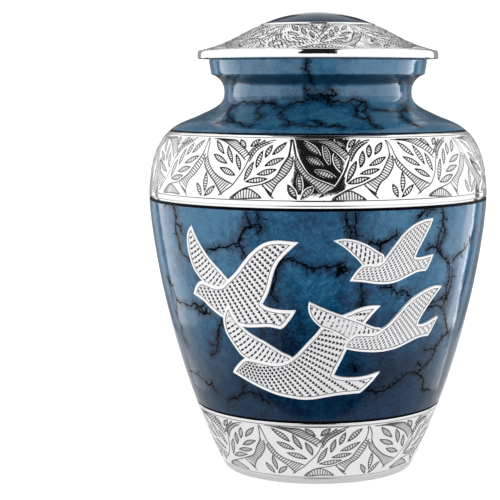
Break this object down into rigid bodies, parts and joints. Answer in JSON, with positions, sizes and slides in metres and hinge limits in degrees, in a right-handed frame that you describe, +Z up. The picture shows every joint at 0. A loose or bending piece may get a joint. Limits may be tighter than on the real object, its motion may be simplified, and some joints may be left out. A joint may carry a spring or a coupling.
{
  "type": "funeral urn",
  "caption": "Lidded metal funeral urn: tapered hollow vessel in blue enamel with engraved leaf-scroll bands, flying doves in low relief, a flared neck and a lift-off domed lid.",
  "frame": {"origin": "centre of the foot ring, on the plane that the urn stands on", "axes": "+Z up along the urn's axis; the doves face -Y; +X is to the right when the doves are looked at"},
  "size_m": [0.1782, 0.1782, 0.24],
  "materials": {
    "blue_enamel": "glossy marbled blue enamel between polished and engraved aluminium bands",
    "engraved_aluminium": "polished rim and engraved leaf slope, with a glossy dark blue enamel dome"
  },
  "bodies": {
    "root": {"urn_body": "blue_enamel", "lid": "engraved_aluminium"}
  },
  "joints": []
}
